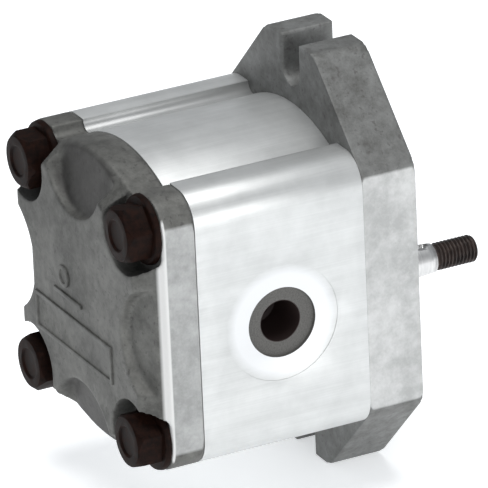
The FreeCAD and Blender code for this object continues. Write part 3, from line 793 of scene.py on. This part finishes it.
def cast_finish(name, dark, light, speck, lit_side_dark, lit_side_light):
    """Sand-cast alloy: cloudy grey, fine grain and pits, painted shade in the arches, sides painted lighter as
    painted light, and a painted highlight along the cover's rear side edges.
    """
    finish = Finish(name, IOR=1.5)
    clouds = finish.noise(14.0, 4.0, 0.6)
    blotches = finish.noise(3.0, 4.0, 0.65)
    grain = finish.noise(0.55, 3.0, 0.6)
    pits = finish.noise(1.3, 2.0, 0.5)
    tone = clouds * 0.5 + blotches * 0.35 + grain * 0.15
    base = finish.ramp(tone, (0.38, dark), (0.62, light))
    smear = finish.ramp(pits, (0.60, 0.0), (0.72, 1.0))
    base = finish.mix(smear * 0.5, base, speck)
    y = finish.axis("Y")
    across = finish.axis("X").absolute()
    upward = (finish.axis("Z") - MIDDLE * MM).absolute()
    # Painted shade: the island's arch floors are darkened towards the speck colour to stand for the shadow in
    # these recesses.
    arch_shade_mask = upward.rises(21.0, 3.0) * across.falls(14.0, 3.0)
    in_island = y.rises(ISLAND_REAR + 0.8, 1.5) * y.falls(PLATE_REAR, 1.0)
    base = finish.mix(arch_shade_mask * in_island * 0.6, base, speck)
    # Painted light: the flat outer sides get lighter tones, standing for the side light falling on them more
    # than on the slanted and rear faces.
    side = across.rises(HALF_WIDTH - 0.35, 0.2)
    base = finish.mix(side, base, finish.ramp(tone, (0.40, lit_side_dark), (0.60, lit_side_light)))
    # Painted highlight: a bright band along the cover's side edges next to the plate's rear face, standing for
    # the light caught by their rounding.
    edge_highlight = across.rises(HALF_WIDTH - 1.4, 0.5) * y.falls(PLATE_REAR + 0.9, 0.3)
    base = finish.mix(edge_highlight, base, EDGE_HIGHLIGHT_TONE)
    rough = 0.5 + grain * 0.18 - smear * 0.05
    height = grain * 0.6 + blotches * 0.6 - smear * 0.3
    return finish.feed(
        Base_Color=base, Roughness=rough, Metallic=0.35 + clouds * 0.3, Normal=finish.bump(height, 0.5, 0.12)
    )


def extruded_finish():
    """Bright satin extrusion: fine lines along the shaft, painted shade along the grooves, a pale ring per
    port, and painted shade on each port's seat and in its bore.
    """
    finish = Finish("bright extruded alloy", IOR=1.5)
    lines = finish.noise(0.35, 2.0, 0.5, finish.stretched((1.0, 0.02, 1.0)))
    wide_lines = finish.noise(2.5, 2.0, 0.5, finish.stretched((1.0, 0.05, 1.0)))
    clouds = finish.noise(9.0, 4.0, 0.6)
    grain = finish.noise(0.4, 2.0, 0.5)
    z = finish.axis("Z")
    from_port = finish.node("CombineXYZ", {}, 0.0, finish.axis("Y") - PORT_Y * MM, z - PORT_Z * MM)
    radius = finish.node("VectorMath", {"operation": "LENGTH"}, from_port, out="Value")
    across = finish.axis("X").absolute()
    near_face = across.over(HALF_WIDTH - 16.0)
    seat = radius.under(SEAT_RADIUS + 0.02) * near_face
    spot_face = radius.falls(SPOT_FACE_RADIUS, 2.5) * near_face
    bore = radius.under(THREAD_RADIUS + 0.15) * near_face
    # Painted shade: the top and bottom of the body are darkened along the grooves beside the dome, standing for
    # the shadow in these creases.
    from_groove = (across - 21.8 * MM).absolute()
    groove_shade = from_groove.falls(2.4, 2.4) * (z - MIDDLE * MM).absolute().rises(32.0, 2.0)
    tone = clouds * 0.5 + wide_lines * 0.3 + lines * 0.2
    base = finish.ramp(tone, (0.35, (0.50, 0.51, 0.505)), (0.62, (0.62, 0.63, 0.625)))
    base = finish.mix(groove_shade * 0.65, base, color(0.14, 0.14, 0.14))
    base = finish.mix(spot_face * 0.9, base, color(0.72, 0.73, 0.74))
    # Painted shade: the port's seat is darkened to stand for the shadow in the recess.
    seat_shade_tone = finish.ramp(grain, (0.3, (0.07, 0.068, 0.064)), (0.7, (0.115, 0.112, 0.105)))
    base = finish.mix(seat, base, seat_shade_tone)
    # Painted shade: the bore's walls are made nearly black to stand for the shadow inside the hole.
    base = finish.mix(bore, base, color(0.018, 0.008, 0.007))
    ring_spacing = 0.5 * MM
    rings = finish.node("Math", {"operation": "SINE"}, radius * (2 * math.pi / ring_spacing))
    height = lines * (1 - spot_face) + rings * spot_face * 0.25
    return finish.feed(
        Base_Color=base,
        Roughness=0.36 + grain * 0.1 + seat * 0.25,
        Metallic=0.55 - seat * 0.4,
        Normal=finish.bump(height, 0.25, 0.03),
    )


def black_finish():
    """Black oxide gone brown in places."""
    finish = Finish("black oxide steel", IOR=1.16)
    blotches = finish.noise(1.6, 4.0, 0.65)
    grain = finish.noise(0.3, 2.0, 0.5)
    base = finish.ramp(blotches, (0.35, (0.004, 0.0015, 0.001)), (0.65, (0.014, 0.005, 0.003)))
    return finish.feed(Base_Color=base, Roughness=0.45 + blotches * 0.2, Normal=finish.bump(grain, 0.3, 0.04))


def shaft_finish():
    """Ground steel with turning marks, and a dark oily thread."""
    finish = Finish("ground steel", IOR=1.5)
    marks = finish.noise(0.25, 2.0, 0.5, finish.stretched((0.03, 1.0, 0.03)))
    blotches = finish.noise(2.0, 4.0, 0.6)
    thread = finish.axis("Y").rises(RELIEF_START + 0.1, 0.3)
    base = finish.ramp(marks * 0.6 + blotches * 0.4, (0.35, (0.58, 0.58, 0.58)), (0.65, (0.72, 0.72, 0.71)))
    oxide = finish.ramp(blotches, (0.35, (0.016, 0.012, 0.011)), (0.65, (0.06, 0.042, 0.036)))
    base = finish.mix(thread, base, oxide)
    return finish.feed(
        Base_Color=base,
        Roughness=0.26 + blotches * 0.12 + thread * 0.2,
        Metallic=0.9 - thread * 0.5,
        Normal=finish.bump(marks, 0.2, 0.02),
    )


def plain_finish(name, dark, light, metallic, rough):
    """One material of an inner piece: two tones in soft clouds, with a fine grain."""
    finish = Finish(name, Metallic=metallic, IOR=1.5)
    clouds = finish.noise(6.0, 3.0, 0.6)
    grain = finish.noise(0.375, 2.0, 0.5)
    base = finish.ramp(clouds * 0.6 + grain * 0.4, (0.35, dark), (0.65, light))
    return finish.feed(Base_Color=base, Roughness=rough + grain * 0.12, Normal=finish.bump(grain, 0.25, 0.03))


def paint(piece, material):
    piece.data.materials.clear()
    piece.data.materials.append(material)


# ---------------------------------------------------------------- the pump

cover = make_rear_cover()
flange = make_mounting_flange()
body = make_pump_body()
bolts = make_cover_bolts()
shaft = make_drive_shaft()

paint(
    cover,
    cast_finish(
        "cast alloy cover",
        (0.065, 0.065, 0.06),
        (0.165, 0.165, 0.155),
        color(0.03, 0.027, 0.027),
        # Painted light: the last two tones are the lighter tones of the flat sides.
        (0.28, 0.285, 0.28),
        (0.42, 0.425, 0.42),
    ),
)
paint(
    flange,
    cast_finish(
        "cast alloy flange",
        (0.10, 0.10, 0.095),
        (0.23, 0.235, 0.23),
        color(0.06, 0.05, 0.05),
        # Painted light: the last two tones are the lighter tones of the flat sides.
        (0.38, 0.385, 0.38),
        (0.56, 0.565, 0.56),
    ),
)
paint(body, extruded_finish())
bolt_black = black_finish()
for bolt in bolts:
    paint(bolt, bolt_black)
paint(shaft, shaft_finish())

INNER_FINISHES = {
    "bearing_alloy": plain_finish("turned bearing alloy", (0.50, 0.50, 0.49), (0.62, 0.62, 0.61), 0.8, 0.35),
    "bush_metal": plain_finish("bronze bush", (0.42, 0.30, 0.14), (0.56, 0.42, 0.22), 0.9, 0.32),
    "seal_rubber": plain_finish("nitrile rubber", (0.012, 0.012, 0.013), (0.03, 0.03, 0.032), 0.0, 0.6),
    "backup_plastic": plain_finish("white backup plastic", (0.70, 0.69, 0.64), (0.80, 0.79, 0.74), 0.0, 0.5),
    "bright_steel": plain_finish("bright steel", (0.52, 0.52, 0.53), (0.66, 0.66, 0.67), 0.95, 0.25),
    "spring_steel": plain_finish(
        "phosphated spring steel", (0.05, 0.05, 0.055), (0.10, 0.10, 0.105), 0.8, 0.45
    ),
    "ground_steel": plain_finish("ground gear steel", (0.5, 0.5, 0.5), (0.64, 0.64, 0.64), 0.95, 0.25),
}
replaced_nodes = {"mounting_flange", "pump_body", "rear_cover", "cover_bolts", "drive_gear_shaft"}
for subpart in frame["record"]["subparts"]:
    if subpart["node"] not in replaced_nodes:
        paint(frame["nodes"][subpart["node"]], INNER_FINISHES[subpart["material_slot"]])

# ---------------------------------------------------------------- floor, light and camera


AIM = Vector((0, -25.0, 12.0)) * MM
FLOOR_GAP = 0.5 * MM


def make_floor():
    bpy.ops.object.select_all(action="DESELECT")
    bpy.ops.mesh.primitive_plane_add(size=12.0, location=(0, 0, cad_low[2] - FLOOR_GAP))
    floor = take_new("studio_floor")
    finish = Finish("pale studio floor", Roughness=0.9, IOR=1.3)
    speckle = finish.noise(400.0, 2.0, 0.5)
    base = finish.ramp(speckle, (0.3, (0.93, 0.935, 0.94)), (0.7, (0.95, 0.955, 0.96)))
    finish.shader.inputs["Emission Color"].default_value = (0.96, 0.98, 1.0, 1.0)
    finish.shader.inputs["Emission Strength"].default_value = 0.5
    paint(floor, finish.feed(Base_Color=base))


def add_light(name, place, size, power, aim):
    """A round soft light, its place and size in metres and its power in watts."""
    data = bpy.data.lights.new(name, "AREA")
    data.shape = "DISK"
    data.size = size
    data.energy = power
    light = bpy.data.objects.new(name, data)
    bpy.context.scene.collection.objects.link(light)
    light.location = place
    light.rotation_mode = "QUATERNION"
    light.rotation_quaternion = (Vector(aim) - Vector(place)).to_track_quat("-Z", "Y")


def make_lights():
    world = bpy.data.worlds.new("soft studio")
    bpy.context.scene.world = world
    world.use_nodes = True
    background = world.node_tree.nodes["Background"]
    background.inputs["Color"].default_value = (0.93, 0.96, 1.0, 1.0)
    background.inputs["Strength"].default_value = 0.36
    add_light("lit_side_light", (1.6, 0.1, 0.25), 0.9, 10.5, AIM)
    add_light("top_light", (0.1, -0.1, 1.7), 1.4, 21.0, AIM)


def make_camera():
    """A long lens from the cover's side, a little above and to the right."""
    azimuth, height, roll = math.radians(63.83), math.radians(23.5), math.radians(-2.6)
    level = math.cos(height)
    back = Vector((math.sin(azimuth) * level, -math.cos(azimuth) * level, math.sin(height)))
    right = Vector((math.cos(azimuth), math.sin(azimuth), 0))
    up = back.cross(right)
    turned_right = right * math.cos(roll) + up * math.sin(roll)
    turned_up = up * math.cos(roll) - right * math.sin(roll)
    distance, sideways, lift = 2.0, -3.85 * MM, 2.62 * MM
    data = bpy.data.cameras.new("camera")
    data.sensor_width = 36.0
    data.lens = 603.4
    camera = bpy.data.objects.new("camera", data)
    bpy.context.scene.collection.objects.link(camera)
    place = AIM + back * distance + turned_right * sideways + turned_up * lift
    camera.matrix_world = Matrix(
        (
            (turned_right.x, turned_up.x, back.x, place.x),
            (turned_right.y, turned_up.y, back.y, place.y),
            (turned_right.z, turned_up.z, back.z, place.z),
            (0, 0, 0, 1),
        )
    )
    bpy.context.scene.camera = camera


make_floor()
make_lights()
make_camera()
bpy.context.scene.view_settings.view_transform = "Standard"
